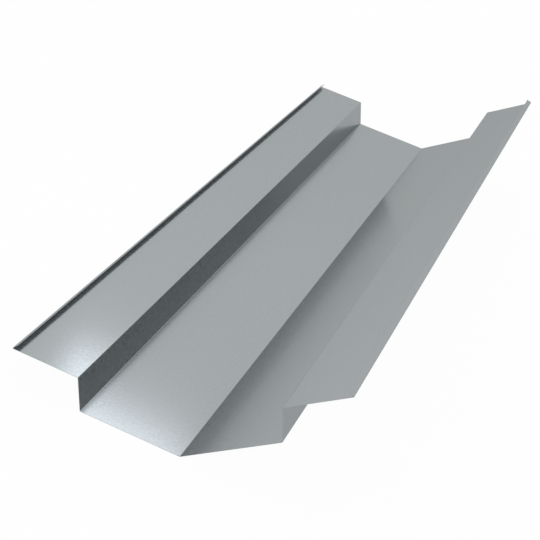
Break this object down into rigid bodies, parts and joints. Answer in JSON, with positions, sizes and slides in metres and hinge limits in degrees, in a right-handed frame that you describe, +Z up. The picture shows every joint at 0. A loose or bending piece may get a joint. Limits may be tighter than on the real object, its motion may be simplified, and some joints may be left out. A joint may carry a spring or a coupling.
{
  "type": "valley flashing",
  "caption": "Long folded sheet for a roof valley: a shallow V between upright walls, with outward flanges that end in open hems.",
  "frame": {"origin": "on the valley line at mid-length, on the underside, at the level of the ground", "axes": "+Y runs along the valley, +Z is up and -X points across the left panel, which lies flat on the ground"},
  "size_m": [0.4579, 1.5, 0.1961],
  "materials": {
    "galvanised_sheet": "mill-finish galvanised, satin"
  },
  "bodies": {
    "root": {"valley_sheet": "galvanised_sheet"}
  },
  "joints": []
}
